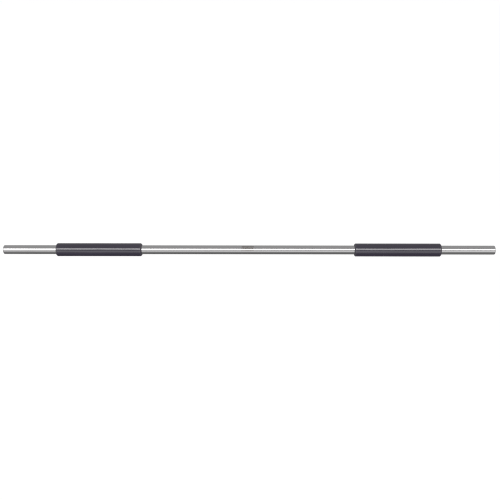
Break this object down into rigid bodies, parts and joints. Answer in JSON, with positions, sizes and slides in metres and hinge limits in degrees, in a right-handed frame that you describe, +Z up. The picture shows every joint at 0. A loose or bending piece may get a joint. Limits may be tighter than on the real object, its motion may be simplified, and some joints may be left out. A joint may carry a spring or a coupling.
{
  "type": "micrometer setting standard",
  "caption": "Long round steel bar with flat lapped ends and black heat-insulating sleeves, the length standard that sets and checks a large outside micrometer.",
  "frame": {"origin": "middle of the bar, on its axis", "axes": "+X along the bar, from the left measuring face towards the right one, +Z up from the bench that the sleeves rest on, +Y away from the user"},
  "size_m": [0.525, 0.014, 0.014],
  "materials": {
    "ground_steel": "hardened tool steel, cylindrically ground, bright satin with fine marks round the bar, ends lapped",
    "black_plastic": "black insulating plastic, turned and polished to a semi-gloss, faint streaks along its length",
    "adhesive": "cured epoxy, hidden inside the sleeves"
  },
  "bodies": {
    "root": {"measuring_bar": "ground_steel", "sleeve_left": "black_plastic", "sleeve_right": "black_plastic", "adhesive_film_left": "adhesive", "adhesive_film_right": "adhesive"}
  },
  "joints": []
}
